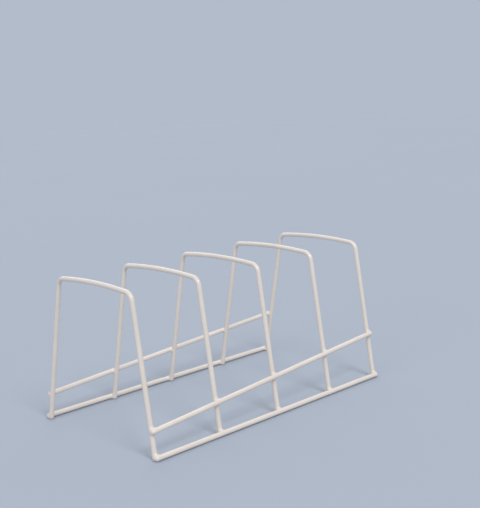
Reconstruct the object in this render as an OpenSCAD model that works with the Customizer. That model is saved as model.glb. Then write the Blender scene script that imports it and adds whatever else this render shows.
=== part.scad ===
// Plate rack: bent wire dividers stand between four straight rails and are welded to them,
// and the whole frame is dipped in white vinyl.
// X runs across the rack, Y from its near end to its far end and Z up from the table.
// The origin is on the table, at the middle of the box round the rack.

/* [Rack] */
// Number of dividers
divider_count = 5; // [2:1:8]
// Distance from one divider to the next
divider_gap = 65; // [30:0.5:90]
// Distance between the last two dividers
last_gap = 61.6; // [30:0.1:90]
// Lean of the dividers towards the far end, in degrees
divider_lean = 1.4; // [0:0.1:6]

/* [Divider] */
// Width between the legs' centre lines at the table
foot_span = 135; // [100:0.5:180]
// Width between the legs' centre lines at shoulder height
shoulder_span = 91.5; // [60:0.5:98]
// Height of the shoulders, where the legs' lines meet the arch
shoulder_h = 120.6; // [80:0.1:180]
// Radius that a bar loses where it is bent
bend_thinning = 0.02; // [0.01:0.01:0.1]
// Rise of the arched top bar above the shoulders
arch_rise = 2.4; // [1:0.1:8]
// Radius of the bends between legs and arch, at the wire's centre line
bend_r = 7.3; // [5:0.1:15]

/* [Rails] */
// Gap between the lower rails and the table
rail_lift = 0.4; // [0.2:0.1:6]
// Height of the upper rails' centre line at the first divider
upper_near_h = 21.8; // [14:0.1:50]
// Height of the upper rails' centre line at the last divider
upper_far_h = 39.7; // [14:0.1:70]
// Length of steel rail past the centre line of an end divider
rail_over = 1.2; // [1.1:0.1:20]

/* [Wire and vinyl] */
// Diameter of the steel wire
wire_d = 3.2; // [2.4:0.1:5]
// Thickness of the vinyl on the wire
coat_t = 0.4; // [0.2:0.05:0.8]
// Extra radius of the vinyl drop on a cut end
drop_swell = 0.1; // [0.1:0.05:0.4]
// Vinyl left over the rim of a cut end
rim_cover = 0.12; // [0.05:0.01:0.2]
// Width of the flat worn or set on each foot
foot_flat_d = 1.6; // [1:0.1:2.4]
// Extra radius of the vinyl pooled round a weld, past a wire's own coating
bead_swell = 0.4; // [0.2:0.05:0.8]

/* [Welds] */
// Depth that two crossed wires are pressed into each other
weld_set = 0.3; // [0.1:0.05:0.6]
// Diameter of a weld nugget
nugget_d = 1.8; // [1:0.1:2.2]
// Depth of a weld nugget into each wire
nugget_depth = 0.5; // [0.3:0.05:0.8]

/* [Hidden] */
// Each rail's name, side and level
RAILS = [
    ["lower_left_rail", -1, "lower"],
    ["lower_right_rail", 1, "lower"],
    ["upper_left_rail", -1, "upper"],
    ["upper_right_rail", 1, "upper"]
];

// Degrees that a bend reaches into the leg and into the arch
bend_tuck = 1.5;
// Facets round a wire and along a bend
$fn = 48;
// Facets of the whole circle that the arch is part of
arch_facets = 240;

steel_colour = [0.55, 0.56, 0.58];
vinyl_colour = [0.93, 0.92, 0.88];
weld_colour = [0.42, 0.42, 0.45];

coat_d = wire_d + 2 * coat_t;
drop_d = coat_d + 2 * drop_swell;
bead_d = coat_d + 2 * bead_swell;
// From a drop's centre to the cut end of the wire inside it
cut_reach = sqrt(pow(drop_d / 2 - rim_cover, 2) - pow(wire_d / 2, 2));
// Between the centre lines of two welded wires
weld_reach = wire_d - weld_set;

// The divider's centre line in its own plane: x across, y up the plane.
// The right leg leans inwards from the table, bends, and runs into the arch.
splay = atan((foot_span - shoulder_span) / 2 / shoulder_h);
leg_dir = [-sin(splay), cos(splay)];
arch_r = (pow(shoulder_span / 2, 2) + pow(arch_rise, 2)) / (2 * arch_rise);
arch_centre = [0, shoulder_h + arch_rise - arch_r];
// The bend's centre slides up beside the leg until the bend touches the arch
bend_foot = [foot_span / 2 - bend_r * cos(splay), -bend_r * sin(splay)];
bend_along = (bend_foot - arch_centre) * leg_dir;
bend_off = norm(bend_foot - arch_centre);
leg_len = sqrt(pow(bend_along, 2) - pow(bend_off, 2) + pow(arch_r - bend_r, 2)) - bend_along;
bend_centre = bend_foot + leg_len * leg_dir;
arch_from = atan2(bend_centre.y - arch_centre.y, bend_centre.x);

// How far up the divider's plane the centre of a foot's drop lies
foot_up = sqrt(pow(drop_d / 2, 2) - pow(foot_flat_d / 2, 2)) / cos(divider_lean);
// The cut end of a leg's wire, as far up the plane
leg_cut_up = foot_up - cut_reach * cos(splay);

// The right legs' centre lines share one plane, and this is its outward normal.
// The rails on that side lie in a parallel plane.
side_slope = atan(tan(splay) / cos(divider_lean));
outward = [cos(side_slope), 0, sin(side_slope)];

// The weld's centre is halfway between the two centre lines
lower_h = coat_d / 2 + rail_lift;
lower_up = (lower_h - weld_reach * outward.z) / cos(divider_lean);
upper_up_near = (upper_near_h - weld_reach * outward.z) / cos(divider_lean);
upper_up_far = (upper_far_h - weld_reach * outward.z) / cos(divider_lean);

// From the end divider's centre line to the centre of the drop on a rail's end
rail_drop_over = rail_over - cut_reach;

// Where the dividers stand, counted from the first, and the shift that centres the rack
last = divider_count - 1;
function from_first(i) = i < last ? i * divider_gap : (last - 1) * divider_gap + last_gap;
near_y = lower_up * sin(divider_lean) - rail_drop_over - drop_d / 2;
arch_top_y = (shoulder_h + arch_rise) * sin(divider_lean) + coat_d / 2;
rail_tip_y = upper_up_far * sin(divider_lean) + rail_drop_over + drop_d / 2;
far_y = from_first(last) + max(arch_top_y, rail_tip_y);
function station(i) = from_first(i) - (near_y + far_y) / 2;

// Slope of the upper rail against the dividers' planes
upper_rise = (upper_up_far - upper_up_near)
    / (from_first(last) + (upper_up_far - upper_up_near) * sin(divider_lean));
// How far up divider i's plane a rail of the given level crosses it
function crossing_up(i, level) = level == "lower"
    ? lower_up
    : (upper_up_near + upper_rise * (from_first(i) - upper_up_near * sin(divider_lean)))
        / (1 - upper_rise * sin(divider_lean));

// A point on the right leg of divider i, the given way up its plane
function leg_point(i, up) = [
    foot_span / 2 - up * tan(splay),
    station(i) + up * sin(divider_lean),
    up * cos(divider_lean)
];
// The right rail's centre line and the weld's centre where they pass divider i
function rail_point(i, level) = leg_point(i, crossing_up(i, level)) + weld_reach * outward;
function weld_point(i, level) = leg_point(i, crossing_up(i, level)) + weld_reach / 2 * outward;

// A slab under the table's surface, wider and longer than the rack
slab_h = 10;
slab_size = [2 * foot_span, 2 * far_y, slab_h];

module on_side(side) {
    if (side < 0)
        mirror([1, 0, 0]) children();
    else
        children();
}

module on_both_sides() {
    children();
    mirror([1, 0, 0]) children();
}

// A rod from one point towards another, with a length of its own past each of them
module rod(from, to, d, past) {
    run = to - from;
    length = norm(run);
    translate(from)
        rotate([0, acos(run.z / length), atan2(run.y, run.x)])
            translate([0, 0, -past])
                cylinder(h = length + 2 * past, d = d);
}

// Everything below the table's surface
module table() {
    translate([-slab_size.x / 2, -slab_size.y / 2, -slab_h]) cube(slab_size);
}

// Stands what is drawn in the divider's plane at its own station
module at_station(i) {
    translate([0, station(i), 0]) rotate([-divider_lean, 0, 0]) children();
}

// Part of a ring in the divider's plane, between two angles
module ring_part(centre, r, from, to, d, facets) {
    translate([centre.x, 0, centre.y])
        rotate([90, 0, 0])
            rotate([0, 0, from])
                rotate_extrude(angle = to - from, $fn = facets)
                    translate([r, 0])
                        circle(d = d, $fn = $fn);
}

// The right leg as a straight round bar that starts the given way up
module leg(d, up) {
    translate([foot_span / 2 - up * tan(splay), 0, up])
        rotate([0, -splay, 0])
            cylinder(h = leg_len - up / cos(splay), d = d);
}

// The right bend, a little thinner than the bar and tucked into both of its neighbours
module bend(d) {
    ring_part(bend_centre, bend_r, splay - bend_tuck, arch_from + bend_tuck, d - 2 * bend_thinning, $fn);
}

// The whole divider as a round bar, with its legs starting the given way up
module hoop(d, up) {
    on_both_sides() {
        leg(d, up);
        bend(d);
    }
    ring_part(arch_centre, arch_r, arch_from, 180 - arch_from, d, arch_facets);
}

module divider_core(i) {
    at_station(i) hoop(wire_d, leg_cut_up);
}

// The straight part of one leg's wire, all that a rail can meet
module leg_core(i) {
    at_station(i) leg(wire_d, leg_cut_up);
}

module rail_core(side, level) {
    on_side(side) rod(rail_point(0, level), rail_point(last, level), wire_d, rail_over);
}

// A rail with its coating and the drops on its ends
module dipped_rail(side, level) {
    near = rail_point(0, level);
    far = rail_point(last, level);
    along = (far - near) / norm(far - near);
    on_side(side) {
        rod(near, far, coat_d, rail_drop_over);
        translate(near - rail_drop_over * along) sphere(d = drop_d);
        translate(far + rail_drop_over * along) sphere(d = drop_d);
    }
}

// A divider with its coating, the drops on its feet and the vinyl pooled round its welds
module dipped_divider(i) {
    at_station(i) {
        hoop(coat_d, foot_up);
        on_both_sides() translate([foot_span / 2 - foot_up * tan(splay), 0, foot_up]) sphere(d = drop_d);
    }
    for (level = ["lower", "upper"])
        on_both_sides() translate(weld_point(i, level)) sphere(d = bead_d);
}

module nugget(i, level) {
    half = weld_set / 2 + nugget_depth;
    translate(weld_point(i, level))
        rotate([0, 90 - side_slope, 0])
            cylinder(h = 2 * half, d = nugget_d, center = true);
}

// Bent steel wire of one divider
module divider_wire(i) {
    color(steel_colour)
        difference() {
            divider_core(i);
            on_both_sides() {
                nugget(i, "lower");
                nugget(i, "upper");
            }
        }
}

// Weld nuggets that join one divider to the four rails
module divider_welds(i) {
    color(weld_colour)
        on_both_sides() {
            nugget(i, "lower");
            nugget(i, "upper");
        }
}

// Vinyl skin of one divider, with its drops and pooled beads
module divider_coating(i) {
    color(vinyl_colour)
        difference() {
            dipped_divider(i);
            divider_core(i);
            for (rail = RAILS) dipped_rail(rail[1], rail[2]);
            divider_welds(i);
            table();
        }
}

// What the welded dividers take out of a rail
module weld_grooves(side, level) {
    on_side(side)
        for (i = [0:last]) {
            leg_core(i);
            nugget(i, level);
        }
}

// Straight steel wire of one rail, grooved where the dividers are pressed into it
module rail_wire(side, level) {
    color(steel_colour)
        difference() {
            rail_core(side, level);
            weld_grooves(side, level);
        }
}

// Vinyl skin of one rail, open only where its wire meets the dividers' wires
module rail_coating(side, level) {
    color(vinyl_colour)
        difference() {
            dipped_rail(side, level);
            rail_core(side, level);
            weld_grooves(side, level);
        }
}

for (i = [0:last]) {
    name = str("divider_", i + 1);
    divider_wire(i);
    divider_coating(i);
    divider_welds(i);
}
for (rail = RAILS) {
    rail_wire(rail[1], rail[2]);
    rail_coating(rail[1], rail[2]);
}
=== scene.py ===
import math

import bpy
import numpy as np
from mathutils import Matrix, Vector


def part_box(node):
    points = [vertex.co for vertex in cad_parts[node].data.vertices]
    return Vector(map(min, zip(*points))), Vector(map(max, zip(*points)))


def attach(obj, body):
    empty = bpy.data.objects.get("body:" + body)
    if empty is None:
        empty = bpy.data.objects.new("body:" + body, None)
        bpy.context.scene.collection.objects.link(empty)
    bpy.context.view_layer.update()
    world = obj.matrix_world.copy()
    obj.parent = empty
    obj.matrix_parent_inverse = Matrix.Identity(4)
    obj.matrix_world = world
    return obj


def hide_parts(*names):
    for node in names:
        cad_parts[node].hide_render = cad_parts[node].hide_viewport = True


# A plate rack of bent and welded steel wire under a dipped skin of white vinyl.
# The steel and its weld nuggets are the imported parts. The skin is drawn here, one piece for each
# wire, and it runs together where two wires cross. Lengths are in metres.

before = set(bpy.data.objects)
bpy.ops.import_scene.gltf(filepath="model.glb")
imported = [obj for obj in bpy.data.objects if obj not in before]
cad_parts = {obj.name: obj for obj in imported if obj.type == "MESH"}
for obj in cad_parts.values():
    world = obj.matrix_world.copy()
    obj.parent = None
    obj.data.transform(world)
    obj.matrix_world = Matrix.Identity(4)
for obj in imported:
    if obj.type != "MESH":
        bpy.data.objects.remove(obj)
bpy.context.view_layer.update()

MM = 0.001

# Centre line of a divider, in its own plane
FOOT_SPAN = 135 * MM       # between the legs at the table
SHOULDER_SPAN = 91.5 * MM  # between the legs' lines at shoulder height
SHOULDER_H = 120.6 * MM    # up to where the legs' lines meet the arch
ARCH_RISE = 2.4 * MM       # of the top bar above the shoulders
BEND_R = 7.3 * MM          # of the bends between legs and arch
LEAN = math.radians(1.4)   # of the whole divider, towards the far end
FOOT_FLAT = 1.6 * MM       # width of the flat that a foot's drop stands on
ARC_STEP = math.radians(1)  # between the points of an arc

# The wires' names, and their thickness as the frame has it
DIVIDER_COUNT = 5
DIVIDERS = [f"divider_{number + 1}" for number in range(DIVIDER_COUNT)]
RAILS = ["lower_left_rail", "lower_right_rail", "upper_left_rail", "upper_right_rail"]


def height_of(node):
    """How tall a node of the frame is."""
    low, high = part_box(node)
    return high.z - low.z


STEEL_R = height_of("lower_left_rail_wire") / 2
DROP_R = height_of("lower_left_rail_coating") / 2
VINYL_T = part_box("divider_1_coating")[1].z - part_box("divider_1_wire")[1].z
SKIN_R = STEEL_R + VINYL_T
RIM_COVER = 0.12 * MM      # vinyl over the rim of a cut end
CUT_REACH = math.sqrt((DROP_R - RIM_COVER) ** 2 - STEEL_R ** 2)  # from a drop's middle to the cut end

# Rings of the skin
SIDES = 40                 # points round each ring
FINE_STEP = 0.3 * MM       # between rings where wires cross or bend
FINE_REACH = 5.5 * MM      # how far each way from a crossing or a bend the rings stay fine
STEP_GROWTH = 0.25         # how much longer the steps get for each metre beyond that
COARSE_STEP = 3 * MM       # the longest step
DROP_STEP = math.radians(9)  # between the rings of a drop, round its middle
SEARCH_STEP = 0.25 * MM    # between the points tried when two lines' crossing is looked for
TOUCHING = 0.001 * MM      # things no further apart than this count as touching

# How the vinyl sits
POOL_WIDTH = 2.6 * MM      # how far from a crossing wire's skin the pooled vinyl begins
POOL_PARTS = 4.0           # the pool's width over its greatest depth, at which its fillet is smooth
SEAM_LAP = 0.3 * MM        # how far one wire's skin runs on over the seam with the next one's
SEAM_DIVE = 0.4            # slope at which it then goes under
UNDERCUT = 0.3 * MM        # how far under its own surface it goes at most
SEAM_CORE = 0.4            # share of the pool's width within which both skins are shaded as one
SEAM_EDGE = 0.75           # share of it beyond which each is shaded by itself
HAIR = 0.01 * MM           # by which the rails' skins clear the table where the dividers' stand on it
LUMP_H = 0.06 * MM         # height of the dipped skin's slow swellings
LUMP_SIZE = 14 * MM        # how long they are
LUMP_DETAIL = 2.0          # how many finer sizes lie on them
LUMP_SEED = 3.0
DROP_REACH = 3.5 * MM      # how far a drop's swelling fades along the wire
SETTLE_STEPS = 24          # times that the skin is moved towards its own surface

# A Mix node's two sources and its result, by number, because vectors and colours share the names
MIX_SOCKETS = {"VECTOR": (4, 5, 1), "RGBA": (6, 7, 2)}


class Nodes:
    """Adds nodes to a tree and feeds them with values or with other nodes' outputs."""

    def __init__(self, tree):
        self.tree = tree

    def feed(self, node, inputs):
        """Gives a node's inputs their values, or links them to other nodes' outputs."""
        for key, value in inputs.items():
            socket = node.inputs[key]
            if isinstance(value, bpy.types.NodeSocket):
                self.tree.links.new(value, socket)
            elif socket.type == "RGBA":
                socket.default_value = (*value, 1.0)
            else:
                socket.default_value = value

    def add(self, kind, inputs=None, **settings):
        """A new node with its settings and inputs."""
        node = self.tree.nodes.new(kind)
        for name, value in settings.items():
            setattr(node, name, value)
        self.feed(node, inputs or {})
        return node

    def geometry(self, kind, shape, inputs=None, **settings):
        """What one more geometry node makes of a shape."""
        return self.add("GeometryNode" + kind, {0: shape, **(inputs or {})}, **settings).outputs[0]

    def math(self, operation, *values):
        """The result of one operation on numbers."""
        return self.add("ShaderNodeMath", dict(enumerate(values)), operation=operation).outputs[0]

    def vector(self, operation, *values):
        """The result of one operation on vectors. It is a vector too, unless it is a distance."""
        node = self.add("ShaderNodeVectorMath", dict(enumerate(values)), operation=operation)
        return node.outputs["Value" if operation == "DISTANCE" else "Vector"]

    def scaled(self, vector, factor):
        """A vector made longer or shorter."""
        inputs = {0: vector, "Scale": factor}
        return self.add("ShaderNodeVectorMath", inputs, operation="SCALE").outputs["Vector"]

    def between(self, kind, factor, first, second):
        """A vector or a colour between two others."""
        first_in, second_in, result = MIX_SOCKETS[kind]
        inputs = {"Factor": factor, first_in: first, second_in: second}
        return self.add("ShaderNodeMix", inputs, data_type=kind).outputs[result]

    def spread(self, value, low, high, to_low=0.0, to_high=1.0, curve="LINEAR"):
        """Maps low..high to to_low..to_high, and no further."""
        inputs = {0: value, 1: low, 2: high, 3: to_low, 4: to_high}
        return self.add("ShaderNodeMapRange", inputs, interpolation_type=curve).outputs[0]

    def noise(self, vector, size, detail, seed):
        """A soft noise from 0 to 1 whose largest blotches have one size."""
        inputs = {"Vector": vector, "W": seed, "Scale": self.math("DIVIDE", 1.0, size), "Detail": detail}
        return self.add("ShaderNodeTexNoise", inputs, noise_dimensions="4D").outputs[0]


def add_sockets(tree, in_out, sockets):
    """Gives a tree its named inputs or outputs."""
    for name, kind in sockets.items():
        tree.interface.new_socket(name, in_out=in_out, socket_type="NodeSocket" + kind)


def new_object(name, data):
    """An object in the scene, at its origin."""
    item = bpy.data.objects.new(name, data)
    bpy.context.scene.collection.objects.link(item)
    return item


# Centre lines

def arc(centre, r, start, end):
    """Points of an arc in a divider's plane."""
    angles = np.linspace(start, end, math.ceil(abs(end - start) / ARC_STEP) + 1)
    return centre + r * np.column_stack([np.cos(angles), np.sin(angles)])


def divider_outline():
    """The centre line in the divider's own plane, from the left foot's drop to the right one's."""
    splay = math.atan((FOOT_SPAN - SHOULDER_SPAN) / 2 / SHOULDER_H)
    up_leg = np.array([-math.sin(splay), math.cos(splay)])

    # The arch is part of a circle through both shoulders
    arch_r = ((SHOULDER_SPAN / 2) ** 2 + ARCH_RISE ** 2) / (2 * ARCH_RISE)
    arch_centre = np.array([0, SHOULDER_H + ARCH_RISE - arch_r])

    # The bend's middle goes up beside the leg until the bend touches the arch from within
    bend_foot = np.array([FOOT_SPAN / 2 - BEND_R * math.cos(splay), -BEND_R * math.sin(splay)])
    from_arch = bend_foot - arch_centre
    along = from_arch @ up_leg
    leg_len = math.sqrt(along ** 2 - from_arch @ from_arch + (arch_r - BEND_R) ** 2) - along
    bend_centre = bend_foot + leg_len * up_leg
    arch_from = math.atan2(bend_centre[1] - arch_centre[1], bend_centre[0])

    # The drop's middle is so far up the leg that the table cuts the drop in the foot's flat
    foot_up = math.sqrt(DROP_R ** 2 - (FOOT_FLAT / 2) ** 2) / math.cos(LEAN)
    foot = [FOOT_SPAN / 2 - foot_up * math.tan(splay), foot_up]

    bend = arc(bend_centre, BEND_R, splay, arch_from)
    arch = arc(arch_centre, arch_r, arch_from, math.pi - arch_from)
    mirror = np.array([-1, 1])
    right = np.vstack([foot, bend])
    return np.vstack([right * mirror, arch[1:-1][::-1], right[::-1]])


def divider_line(name):
    """The divider's centre line where the frame has it."""
    across, up = divider_outline().T
    top_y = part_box(f"{name}_wire")[1].y - STEEL_R
    station = top_y - (SHOULDER_H + ARCH_RISE) * math.sin(LEAN)
    return np.column_stack([across, station + up * math.sin(LEAN), up * math.cos(LEAN)])


def rail_line(name):
    """The rail's centre line where the frame has it, from one end's drop to the other's.
    An upper rail starts low and wide at the near end, and climbs and closes in towards the far end."""
    low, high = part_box(f"{name}_wire")
    side = math.copysign(1, low.x + high.x)
    widest = max(abs(low.x), abs(high.x)) - STEEL_R
    narrowest = min(abs(low.x), abs(high.x)) + STEEL_R
    near = np.array([side * widest, low.y, low.z + STEEL_R])
    far = np.array([side * narrowest, high.y, high.z - STEEL_R])
    along = (far - near) / np.linalg.norm(far - near)
    return np.array([near + CUT_REACH * along, far - CUT_REACH * along])


def reached(line):
    """How far along a line each of its points lies."""
    return np.concatenate([[0], np.cumsum(np.linalg.norm(np.diff(line, axis=0), axis=1))])


def points_at(line, places):
    """The points that lie at some places along a line."""
    return np.column_stack([np.interp(places, reached(line), line[:, axis]) for axis in range(3)])


def crossing_place(line, other):
    """How far along a line another one passes closest to it."""
    places, other_places = (np.arange(0, reached(each)[-1], SEARCH_STEP) for each in (line, other))
    here, there = points_at(line, places), points_at(other, other_places)
    gaps = np.linalg.norm(here[:, None] - there[None], axis=2)
    return places[gaps.min(axis=1).argmin()]


def bend_places(line):
    """How far along a line the points of its bends lie, which are the ones close together."""
    places = reached(line)
    return places[1:][np.diff(places) < FINE_STEP].tolist()


def ring_places(length, busy):
    """Places along a wire for its rings, close together near the busy ones."""
    places = [0.0]
    while places[-1] < length:
        away = min(abs(places[-1] - place) for place in busy) - FINE_REACH
        step = FINE_STEP + max(away, 0) * STEP_GROWTH
        places.append(places[-1] + min(step, COARSE_STEP))
    return np.array(places) * length / places[-1]


# What the skin's tree works on

def wire_mesh(name, points, **attributes):
    """A mesh of one open row of points, with values of its own for each point."""
    mesh = bpy.data.meshes.new(name)
    mesh.from_pydata(points.tolist(), [(i, i + 1) for i in range(len(points) - 1)], [])
    for label, values in attributes.items():
        kind, field = ("FLOAT_VECTOR", "vector") if np.ndim(values) == 2 else ("FLOAT", "value")
        layer = mesh.attributes.new(label, kind, "POINT")
        layer.data.foreach_set(field, np.asarray(values, np.float32).ravel())
    return mesh


def drop_rings(middle, inside):
    """The rings of the drop round a line's end, from its tip towards the line's next point. A row
    holds a ring's centre, its radius and its core, which is the drop's middle."""
    outward = (middle - inside) / np.linalg.norm(middle - inside)
    turns = np.arange(0, math.pi / 2, DROP_STEP)
    centres = middle + DROP_R * np.cos(turns)[:, None] * outward
    return np.column_stack([centres, DROP_R * np.sin(turns), np.tile(middle, (len(turns), 1))])


def ring_mesh(name, line, busy):
    """The rings of one wire's skin as a row of points. Each has its radius, and its core: the point
    of the wire's own line that the skin round it swells from."""
    along = points_at(line, ring_places(reached(line)[-1], busy))
    wire_rings = np.column_stack([along, np.full(len(along), SKIN_R), along])
    first_drop = drop_rings(line[0], line[1])
    last_drop = drop_rings(line[-1], line[-2])
    rings = np.vstack([first_drop, wire_rings, last_drop[::-1]])
    return wire_mesh(name, rings[:, :3], ring_radius=rings[:, 3], core=rings[:, 4:])


def landmarks(name, lines):
    """Some lines, or lone points, together as one object that the skin measures from."""
    points, edges = [], []
    for line in lines:
        edges += [(len(points) + i, len(points) + i + 1) for i in range(len(line) - 1)]
        points += line.tolist()
    mesh = bpy.data.meshes.new(name)
    mesh.from_pydata(points, edges, [])
    return bpy.data.objects.new(name, mesh)


# The skin's tree

def attribute(n, name, kind):
    """A value that each point carries."""
    return n.add("GeometryNodeInputNamedAttribute", {"Name": name}, data_type=kind).outputs["Attribute"]


def nearest(n, landmark, element):
    """The nearest point or edge of a landmark: where it is, and how far away."""
    shape = n.add("GeometryNodeObjectInfo", {"Object": landmark}).outputs["Geometry"]
    return n.add("GeometryNodeProximity", {0: shape}, target_element=element).outputs


def round_sweep(n, given):
    """A plain round skin, swept through the rings and closed at the tips of its drops."""
    row = n.geometry("MeshToCurve", given["Rings"])
    radius = attribute(n, "ring_radius", "FLOAT")
    ring = n.add("GeometryNodeCurvePrimitiveCircle", {"Resolution": given["Sides"], "Radius": 1.0})
    swept = n.geometry("CurveToMesh", row, {"Profile Curve": ring.outputs["Curve"], "Scale": radius})
    return n.geometry("MergeByDistance", swept, {"Distance": TOUCHING})


def lone_reach(n, given, position):
    """How far the skin reaches from its core on a wire by itself: further at a drop, and slowly
    uneven."""
    from_drop = nearest(n, given["Drop Centres"], "POINTS")["Distance"]
    drop_edge = n.math("ADD", given["Skin Radius"], given["Drop Reach"])
    swell = n.spread(from_drop, given["Skin Radius"], drop_edge, given["Drop Swell"], 0.0, "SMOOTHSTEP")
    lumps = n.noise(position, given["Lump Size"], LUMP_DETAIL, given["Seed"])
    up_and_down = n.math("MULTIPLY_ADD", lumps, 2.0, -1.0)
    uneven = n.math("MULTIPLY", up_and_down, given["Lump Height"])
    return n.math("ADD", n.math("ADD", given["Skin Radius"], swell), uneven)


def pooled_reach(n, given, nearer):
    """How much further it reaches near a crossing. The most pools where both wires are equally near,
    and past that seam the skin goes under the other one."""
    width, lap = given["Pool Width"], given["Seam Lap"]

    def pooled_at(lead):
        """The fillet between two skins, where the crossing wire is nearer by the lead."""
        overlap = n.math("MAXIMUM", n.math("ADD", width, lead), 0.0)
        squared = n.math("MULTIPLY", overlap, overlap)
        return n.math("DIVIDE", squared, n.math("MULTIPLY", width, POOL_PARTS))

    past = n.math("SUBTRACT", nearer, lap)
    under = n.math("SUBTRACT", pooled_at(lap), n.math("MULTIPLY", past, given["Seam Dive"]))
    pooled = n.math("MINIMUM", pooled_at(nearer), under)
    return n.math("MAXIMUM", pooled, n.math("MULTIPLY", given["Undercut"], -1.0))


def settle(n, given, skin, place):
    """Moves each point to its place, again and again, because the place depends on where it is."""
    again, done = n.add("GeometryNodeRepeatInput"), n.add("GeometryNodeRepeatOutput")
    again.pair_with_output(done)
    n.feed(again, {"Iterations": given["Settle Steps"], "Geometry": skin})
    moved = n.geometry("SetPosition", again.outputs["Geometry"], {"Position": place})
    n.feed(done, {"Geometry": moved})
    return done.outputs["Geometry"]


def seam_facing(n, given, nearer, outward, from_crossing):
    """Which way the skin is shaded as facing. Round a seam both wires' skins are shaded as the one
    surface that they share."""
    lead = n.math("DIVIDE", nearer, given["Pool Width"])
    shared = n.between("VECTOR", n.spread(lead, -1.0, 1.0), outward, from_crossing)
    from_seam = n.math("ABSOLUTE", lead)
    at_seam = n.spread(from_seam, given["Seam Core"], given["Seam Edge"], 1.0, 0.0, "SMOOTHSTEP")
    plain = n.add("GeometryNodeInputNormal").outputs["Normal"]
    return n.vector("NORMALIZE", n.between("VECTOR", at_seam, plain, shared))


def skin_tree():
    """Sweeps a ring along a wire and lets it swell where the wire ends or meets others.
    Each point moves straight out from its core until it lies where the skins of both wires blend."""
    tree = bpy.data.node_groups.new("dipped skin", "GeometryNodeTree")
    add_sockets(tree, "INPUT", {
        "Rings": "Geometry", "Crossing Lines": "Object", "Drop Centres": "Object",
        "Sides": "Int", "Skin Radius": "Float", "Drop Swell": "Float", "Drop Reach": "Float",
        "Pool Width": "Float", "Seam Lap": "Float", "Seam Dive": "Float", "Undercut": "Float",
        "Seam Core": "Float", "Seam Edge": "Float", "Table": "Float",
        "Lump Height": "Float", "Lump Size": "Float", "Settle Steps": "Int", "Seed": "Float",
        "Material": "Material",
    })
    add_sockets(tree, "OUTPUT", {"Skin": "Geometry"})
    n = Nodes(tree)
    given = n.add("NodeGroupInput").outputs
    position = n.add("GeometryNodeInputPosition").outputs["Position"]
    axes = n.add("ShaderNodeSeparateXYZ", {"Vector": position}).outputs
    core = attribute(n, "core", "FLOAT_VECTOR")
    outward = n.vector("NORMALIZE", n.vector("SUBTRACT", position, core))
    crossing = nearest(n, given["Crossing Lines"], "EDGES")
    from_crossing = n.vector("NORMALIZE", n.vector("SUBTRACT", position, crossing["Position"]))
    nearer = n.math("SUBTRACT", n.vector("DISTANCE", position, core), crossing["Distance"])

    # The shape
    pooled = pooled_reach(n, given, nearer)
    reach = n.math("ADD", lone_reach(n, given, position), pooled)
    place = n.vector("ADD", core, n.scaled(outward, reach))
    skin = settle(n, given, round_sweep(n, given), place)

    # How deep the pool is, as a share of the deepest, is kept for the finish
    deepest = n.math("DIVIDE", given["Pool Width"], POOL_PARTS)
    depth = n.math("DIVIDE", n.math("MAXIMUM", pooled, 0.0), deepest)
    stored = {"Name": "pooled", "Value": depth}
    skin = n.geometry("StoreNamedAttribute", skin, stored, data_type="FLOAT", domain="POINT")

    # What hangs below the table's surface lies flat on it
    raised = n.math("MAXIMUM", axes["Z"], given["Table"])
    on_table = n.add("ShaderNodeCombineXYZ", {"X": axes["X"], "Y": axes["Y"], "Z": raised})
    skin = n.geometry("SetPosition", skin, {"Position": on_table.outputs["Vector"]})
    skin = n.geometry("SetShadeSmooth", skin)

    # The shading
    facing = seam_facing(n, given, nearer, outward, from_crossing)
    lies_flat = n.math("LESS_THAN", axes["Z"], n.math("ADD", given["Table"], TOUCHING))
    facing = n.between("VECTOR", lies_flat, facing, (0, 0, -1))
    skin = n.geometry("SetMeshNormal", skin, {"Custom Normal": facing}, mode="FREE", domain="POINT")

    skin = n.geometry("RealizeInstances", skin)
    skin = n.geometry("SetMaterial", skin, {"Material": given["Material"]})
    n.add("NodeGroupOutput", {"Skin": skin})
    return tree


def set_inputs(modifier, values):
    """Sets a modifier's inputs, which its tree names."""
    for item in modifier.node_group.interface.items_tree:
        if item.in_out == "INPUT" and item.name in values:
            modifier[item.identifier] = values[item.name]


def skin_piece(name, line, others, tree, values):
    """The skin of one wire as a plain mesh object of its own."""
    busy = [crossing_place(line, other) for other in others] + bend_places(line)
    rings = new_object(f"{name}_rings", ring_mesh(f"{name}_rings", line, busy))
    modifier = rings.modifiers.new("dipped skin", "NODES")
    modifier.node_group = tree
    set_inputs(modifier, values)
    evaluated = rings.evaluated_get(bpy.context.evaluated_depsgraph_get())
    mesh = bpy.data.meshes.new_from_object(evaluated)
    mesh.name = name
    rings.modifiers.remove(modifier)
    bpy.data.objects.remove(rings)
    return new_object(name, mesh)


# Finishes

# A mottle is soft blotches of one size. Each kind has a contrast and a seed of its own
MOTTLE_DETAIL = 3.0        # how many finer sizes lie in it
NOISE_MIDDLE = 0.5

VINYL_WHITE = (0.795, 0.725, 0.665)
VINYL_SHADED = (0.735, 0.665, 0.595)
VINYL_POOLED = (0.755, 0.68, 0.59)
VINYL_SCUFFED = (0.52, 0.49, 0.45)
SHADING = {"Size": 22 * MM, "Contrast": 2.5, "Seed": 1.0}
DIMPLES = {"Size": 2.5 * MM, "Contrast": 2.0, "Seed": 2.0}
PEEL = {"Size": 0.8 * MM, "Contrast": 1.5, "Seed": 3.0}
SCUFFS = {"Size": 5 * MM, "Contrast": 9.0, "Seed": 4.0}
SHADED_SHARE = 0.8         # how far the white turns to the shaded colour where the shading is full
POOLED_SHARE = 0.6         # and to the pooled one in the deepest pool
SCUFFED_SHARE = 0.08       # and to the scuffed one in a scuff
VINYL_BUMP = 0.5
VINYL_BUMP_H = 0.08 * MM
DIMPLES_LIFT = 0.4         # the dimples' share of that height
PEEL_LIFT = 0.6            # the orange peel's share of it
VINYL_IOR = 1.5
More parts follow.
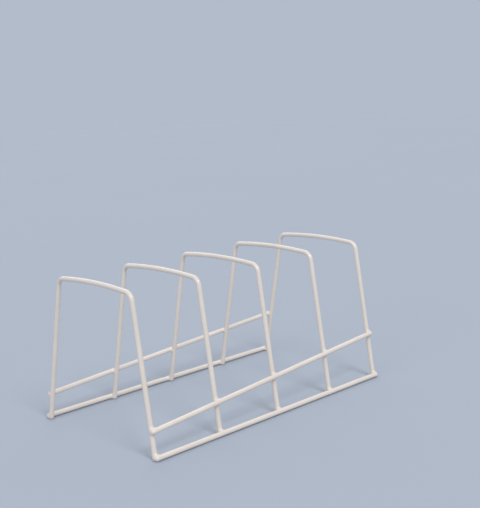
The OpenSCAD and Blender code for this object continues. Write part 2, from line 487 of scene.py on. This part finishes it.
COAT_WEIGHT = 0.3
COAT_ROUGH = 0.12

# The vinyl's roughness stays below 0.27 throughout, because a roughness that crosses it renders as
# bands on wires seen end-on
VINYL_ROUGH = (0.20, 0.25)
SCUFFED_ROUGH = 0.015      # added in a scuff

STEEL_GREY = (0.55, 0.56, 0.58)
STEEL_DARK = (0.34, 0.34, 0.35)
WELD_GREY = (0.42, 0.42, 0.45)
WELD_STRAW = (0.40, 0.31, 0.20)
DRAWN_LINES = {"Size": 0.6 * MM, "Contrast": 2.0, "Seed": 5.0}
DRAWN_SCALE = 0.03         # how wide they are for their length
STEEL_CLOUDS = {"Size": 9 * MM, "Contrast": 2.0, "Seed": 6.0}
CLOUDED_SHARE = 0.4        # how far the colour turns to the dark one in a cloud
STEEL_ROUGH = (0.28, 0.45)
STEEL_BUMP = 0.3
STEEL_BUMP_H = 0.02 * MM


def mottle_group():
    """A mottle as a mask. The more contrast, the sharper its blotches' edges."""
    tree = bpy.data.node_groups.new("mottle", "ShaderNodeTree")
    add_sockets(tree, "INPUT", {"Vector": "Vector", "Size": "Float", "Contrast": "Float", "Seed": "Float"})
    add_sockets(tree, "OUTPUT", {"Mask": "Float"})
    n = Nodes(tree)
    given = n.add("NodeGroupInput").outputs
    noise = n.noise(given["Vector"], given["Size"], MOTTLE_DETAIL, given["Seed"])
    soft = n.math("DIVIDE", NOISE_MIDDLE, given["Contrast"])
    low, high = n.math("SUBTRACT", NOISE_MIDDLE, soft), n.math("ADD", NOISE_MIDDLE, soft)
    n.add("NodeGroupOutput", {"Mask": n.spread(noise, low, high)})
    return tree


def new_material(name):
    """A new material: itself, its nodes, its Principled shader and its Object coordinates."""
    material = bpy.data.materials.new(name)
    material.use_nodes = True
    shader = material.node_tree.nodes["Principled BSDF"]
    n = Nodes(material.node_tree)
    coordinates = n.add("ShaderNodeTexCoord").outputs["Object"]
    return material, n, shader, coordinates


def mottled(n, group, vector, kind):
    """One kind of mottle over a surface, as a mask."""
    return n.add("ShaderNodeGroup", {"Vector": vector, **kind}, node_tree=group).outputs["Mask"]


def tinted(n, colour, mask, share, other):
    """A colour that turns to another one by a share, where a mask is full."""
    return n.between("RGBA", n.math("MULTIPLY", mask, share), colour, other)


def vinyl_finish(group):
    """Satin dipped vinyl: a warm white, a little deeper where it pooled, with faint orange peel."""
    material, n, shader, coordinates = new_material("white_vinyl")
    shading = mottled(n, group, coordinates, SHADING)
    dimples = mottled(n, group, coordinates, DIMPLES)
    peel = mottled(n, group, coordinates, PEEL)
    scuffs = n.math("MULTIPLY", mottled(n, group, coordinates, SCUFFS), dimples)
    pooled = n.add("ShaderNodeAttribute", attribute_name="pooled").outputs["Fac"]
    colour = tinted(n, VINYL_WHITE, shading, SHADED_SHARE, VINYL_SHADED)
    colour = tinted(n, colour, pooled, POOLED_SHARE, VINYL_POOLED)
    colour = tinted(n, colour, scuffs, SCUFFED_SHARE, VINYL_SCUFFED)
    rough = n.spread(dimples, 0.0, 1.0, *VINYL_ROUGH)
    rough = n.math("ADD", rough, n.math("MULTIPLY", scuffs, SCUFFED_ROUGH))
    dimpled, peeled = n.math("MULTIPLY", dimples, DIMPLES_LIFT), n.math("MULTIPLY", peel, PEEL_LIFT)
    height = n.math("ADD", dimpled, peeled)
    bump = n.add("ShaderNodeBump", {"Strength": VINYL_BUMP, "Distance": VINYL_BUMP_H, "Height": height})
    n.feed(shader, {
        "Base Color": colour, "Roughness": rough, "Normal": bump.outputs["Normal"],
        "IOR": VINYL_IOR, "Coat Weight": COAT_WEIGHT, "Coat Roughness": COAT_ROUGH,
    })
    return material


def steel_finish(name, group, scale, bright, dark):
    """Drawn or welded steel. The scale along each axis is what makes drawn lines long."""
    material, n, shader, coordinates = new_material(name)
    stretched = n.add("ShaderNodeMapping", {"Vector": coordinates, "Scale": scale}).outputs["Vector"]
    lines = mottled(n, group, stretched, DRAWN_LINES)
    clouds = mottled(n, group, coordinates, STEEL_CLOUDS)
    colour = tinted(n, n.between("RGBA", lines, bright, dark), clouds, CLOUDED_SHARE, dark)
    rough = n.spread(lines, 0.0, 1.0, *STEEL_ROUGH)
    bump = n.add("ShaderNodeBump", {"Strength": STEEL_BUMP, "Distance": STEEL_BUMP_H, "Height": lines})
    n.feed(shader, {
        "Base Color": colour, "Roughness": rough, "Normal": bump.outputs["Normal"], "Metallic": 1.0,
    })
    return material


# The camera stands where the photograph's did. Angles are in radians, and the lens in millimetres

CAMERA_PLACE = (576.11 * MM, -531.45 * MM, 266.51 * MM)
CAMERA_YAW = 0.7995        # to the left of straight down the rack
CAMERA_PITCH = 0.1786      # below the horizon
CAMERA_ROLL = -0.0356      # by which its right side is raised
CAMERA_LENS = 66.63
SENSOR = 36                # its long side


def make_camera():
    """The camera at the photograph's place, turned as it was."""
    data = bpy.data.cameras.new("camera")
    data.lens, data.sensor_width = CAMERA_LENS, SENSOR
    camera = new_object("camera", data)
    level_right = Vector((math.cos(CAMERA_YAW), math.sin(CAMERA_YAW), 0))
    level_ahead = Vector((-math.sin(CAMERA_YAW), math.cos(CAMERA_YAW), 0))
    ahead = level_ahead * math.cos(CAMERA_PITCH) - Vector((0, 0, math.sin(CAMERA_PITCH)))
    above = level_right.cross(ahead)
    right = level_right * math.cos(CAMERA_ROLL) + above * math.sin(CAMERA_ROLL)
    up = above * math.cos(CAMERA_ROLL) - level_right * math.sin(CAMERA_ROLL)
    turned = Matrix((right, up, -ahead)).transposed()
    camera.matrix_world = Matrix.Translation(CAMERA_PLACE) @ turned.to_4x4()
    bpy.context.scene.camera = camera


# Floor and light

FLOOR_R = 6.0
FLOOR_SIDES = 96
FLOOR_PALE = (0.39, 0.437, 0.521)
FLOOR_CLOUDS = {"Size": 0.5, "Contrast": 1.5, "Seed": 7.0}
CLOUD_LIFT = 1.03          # how much paler the floor is in a cloud
FLOOR_ROUGH = 0.9
FLOOR_SHINE = 0.1
BACKDROP = (0.449, 0.502, 0.594)  # the floor's colour as the lamps light it
WHITE = (1, 1, 1)
SKY_LIGHT = 0.58

# Broad soft lamps far away, in degrees. Azimuth 0 shines along +Y
LAMPS = {
    "key_lamp": {"strength": 1.3, "azimuth": 75, "elevation": 50, "width": 22},
    "fill_lamp": {"strength": 0.55, "azimuth": 10, "elevation": 40, "width": 40},
    "back_lamp": {"strength": 0.5, "azimuth": 235, "elevation": 35, "width": 50},
}


def make_floor(group):
    """A wide pale round floor."""
    turns = np.linspace(0, 2 * math.pi, FLOOR_SIDES, endpoint=False)
    rim = np.column_stack([FLOOR_R * np.cos(turns), FLOOR_R * np.sin(turns), np.zeros(FLOOR_SIDES)])
    mesh = bpy.data.meshes.new("floor")
    mesh.from_pydata(rim.tolist(), [], [list(range(FLOOR_SIDES))])
    material, n, shader, coordinates = new_material("floor")
    paler = tuple(channel * CLOUD_LIFT for channel in FLOOR_PALE)
    clouds = mottled(n, group, coordinates, FLOOR_CLOUDS)
    n.feed(shader, {
        "Base Color": n.between("RGBA", clouds, FLOOR_PALE, paler),
        "Roughness": FLOOR_ROUGH, "Specular IOR Level": FLOOR_SHINE,
    })
    mesh.materials.append(material)
    floor = new_object("floor", mesh)


def make_lamp(name, strength, azimuth, elevation, width):
    """One lamp, turned to shine from its place in the sky."""
    data = bpy.data.lights.new(name, "SUN")
    data.energy, data.angle = strength, math.radians(width)
    turn, lift = math.radians(azimuth), math.radians(elevation)
    back = Vector((math.sin(turn) * math.cos(lift), -math.cos(turn) * math.cos(lift), math.sin(lift)))
    lamp = new_object(name, data)
    lamp.rotation_mode = "QUATERNION"
    lamp.rotation_quaternion = (-back).to_track_quat("-Z", "Y")


def make_world():
    """Even light from all round. Beyond the floor's edge the camera, reflections and clear things
    see the floor's colour instead."""
    world = bpy.data.worlds.new("studio")
    bpy.context.scene.world = world
    world.use_nodes = True
    n = Nodes(world.node_tree)
    n.tree.nodes.clear()
    rays = n.add("ShaderNodeLightPath").outputs
    mirrored = n.math("MAXIMUM", rays["Is Glossy Ray"], rays["Is Transmission Ray"])
    looked_at = n.math("MAXIMUM", rays["Is Camera Ray"], mirrored)
    light = n.add("ShaderNodeBackground", {"Color": WHITE, "Strength": SKY_LIGHT})
    backdrop = n.add("ShaderNodeBackground", {"Color": BACKDROP, "Strength": 1.0})
    seen = n.add("ShaderNodeMixShader", {0: looked_at, 1: light.outputs[0], 2: backdrop.outputs[0]})
    n.add("ShaderNodeOutputWorld", {"Surface": seen.outputs[0]})


# The rack

def dip_wires(vinyl):
    """Gives each wire a skin in place of its packed coating."""
    divider_lines = [divider_line(name) for name in DIVIDERS]
    rail_lines = [rail_line(name) for name in RAILS]
    ends = [line[[end]] for line in divider_lines + rail_lines for end in (0, -1)]
    drop_centres = landmarks("drop_centres", ends)
    dividers_together = landmarks("divider_lines", divider_lines)
    rails_together = landmarks("rail_lines", rail_lines)
    tree = skin_tree()
    shared = {
        "Drop Centres": drop_centres, "Sides": SIDES, "Skin Radius": SKIN_R,
        "Drop Swell": DROP_R - SKIN_R, "Drop Reach": DROP_REACH, "Pool Width": POOL_WIDTH,
        "Seam Lap": SEAM_LAP, "Seam Dive": SEAM_DIVE, "Undercut": UNDERCUT,
        "Seam Core": SEAM_CORE, "Seam Edge": SEAM_EDGE, "Lump Height": LUMP_H,
        "Lump Size": LUMP_SIZE, "Settle Steps": SETTLE_STEPS, "Seed": LUMP_SEED, "Material": vinyl,
    }
    for names, lines, others, crossing, table in (
        (DIVIDERS, divider_lines, rail_lines, rails_together, 0.0),
        (RAILS, rail_lines, divider_lines, dividers_together, HAIR),
    ):
        values = {**shared, "Crossing Lines": crossing, "Table": table}
        for name, line in zip(names, lines):
            skin = skin_piece(f"{name}_vinyl", line, others, tree, values)
            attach(skin, "root")
            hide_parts(f"{name}_coating")
    for helper in (drop_centres, dividers_together, rails_together):
        bpy.data.objects.remove(helper)


def finish_steel(group):
    """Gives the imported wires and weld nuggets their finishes."""
    leg_steel = steel_finish("leg_steel", group, (1, 1, DRAWN_SCALE), STEEL_GREY, STEEL_DARK)
    rail_steel = steel_finish("rail_steel", group, (1, DRAWN_SCALE, 1), STEEL_GREY, STEEL_DARK)
    weld_steel = steel_finish("weld_steel", group, (1, 1, 1), WELD_GREY, WELD_STRAW)
    for names, part, steel in (
        (DIVIDERS, "wire", leg_steel), (DIVIDERS, "welds", weld_steel), (RAILS, "wire", rail_steel),
    ):
        for name in names:
            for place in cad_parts[f"{name}_{part}"].material_slots:
                place.material = steel


make_camera()
mottling = mottle_group()
make_floor(mottling)
make_world()
for lamp_name, setting in LAMPS.items():
    make_lamp(lamp_name, **setting)
bpy.context.scene.view_settings.view_transform = "Standard"

dip_wires(vinyl_finish(mottling))
finish_steel(mottling)
